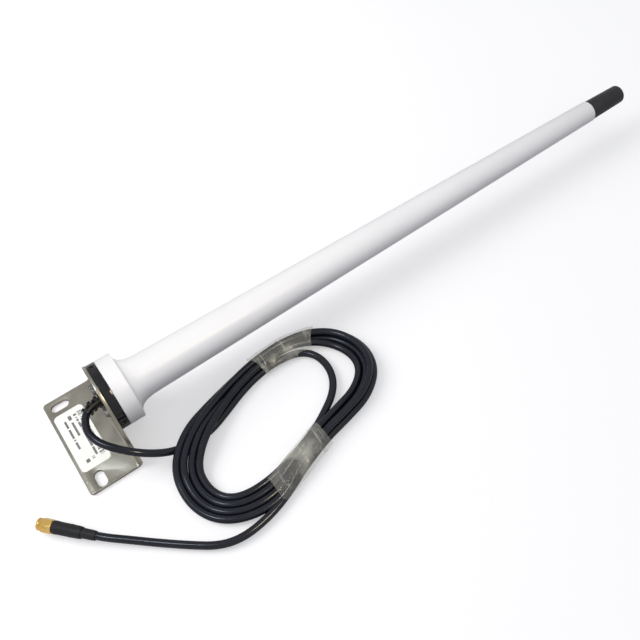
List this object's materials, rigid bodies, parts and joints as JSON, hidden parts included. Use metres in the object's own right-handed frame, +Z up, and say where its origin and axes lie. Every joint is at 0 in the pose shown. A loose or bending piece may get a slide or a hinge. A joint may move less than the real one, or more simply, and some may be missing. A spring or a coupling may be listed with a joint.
{
  "type": "omnidirectional antenna",
  "caption": "White tapered rod antenna on a slotted steel L-bracket, with a taped hank of black coaxial cable ending in a gold threaded plug.",
  "frame": {"origin": "on the underside of the bracket's plate, midway between its two slots", "axes": "+X along the mast from the bracket to the tip, +Z up out of the plate, +Y across the plate"},
  "size_m": [0.5141, 0.1627, 0.0514],
  "materials": {
    "stainless_sheet": "brushed stainless sheet",
    "label_film": "white printed film",
    "fasteners": "bright stainless",
    "black_gloss_plastic": "gloss black moulding",
    "seal_rubber": "black nitrile rubber",
    "radome_white": "satin white moulding",
    "black_satin_plastic": "satin black moulding",
    "boot_rubber": "soft black moulding",
    "crimp_metal": "plated crimp",
    "inner_coax": "fluoropolymer jacket",
    "ferrite": "sintered ferrite",
    "natural_nylon": "natural nylon",
    "board_laminate": "green solder mask",
    "copper_foil": "tinned copper",
    "foam": "closed-cell foam",
    "cable_jacket": "satin black jacket",
    "clear_tape": "clear film tape",
    "heat_shrink": "matt heat-shrink",
    "gold_plate": "gold-plated brass",
    "spring_bronze": "spring bronze",
    "silicone": "red silicone",
    "ptfe": "white fluoropolymer"
  },
  "bodies": {
    "antenna": {"bracket": "stainless_sheet", "rating_label": "label_film", "flange_screws": "fasteners", "flange_washers": "fasteners", "base_cap": "black_gloss_plastic", "base_seal": "seal_rubber", "radome": "radome_white", "tip_cap": "black_satin_plastic", "strain_relief": "boot_rubber", "feed_ferrule": "crimp_metal", "feed_coax": "inner_coax", "ferrite_choke": "ferrite", "board_holder": "natural_nylon", "radiator_board": "board_laminate", "radiator_copper": "copper_foil", "foam_spacers": "foam", "cable_lead_in": "cable_jacket", "cable_hank": "cable_jacket", "cable_inner_turn": "cable_jacket", "cable_lead_out": "cable_jacket", "tape_upper": "clear_tape", "tape_lower": "clear_tape", "heat_shrink_large": "heat_shrink", "heat_shrink_small": "heat_shrink", "crimp_ferrule": "crimp_metal", "connector_body": "gold_plate", "nut_snap_ring": "spring_bronze", "connector_gasket": "silicone", "ptfe_insulator": "ptfe", "centre_pin": "gold_plate"},
    "nut": {"coupling_nut": "gold_plate"}
  },
  "joints": [
    {"name": "nut_spin", "type": "hinge", "parent": "antenna", "child": "nut", "pos_m": [-0.044, -0.0392, 0.0048], "axis": [-0.6691, 0.7431, 0], "continuous": true}
  ]
}
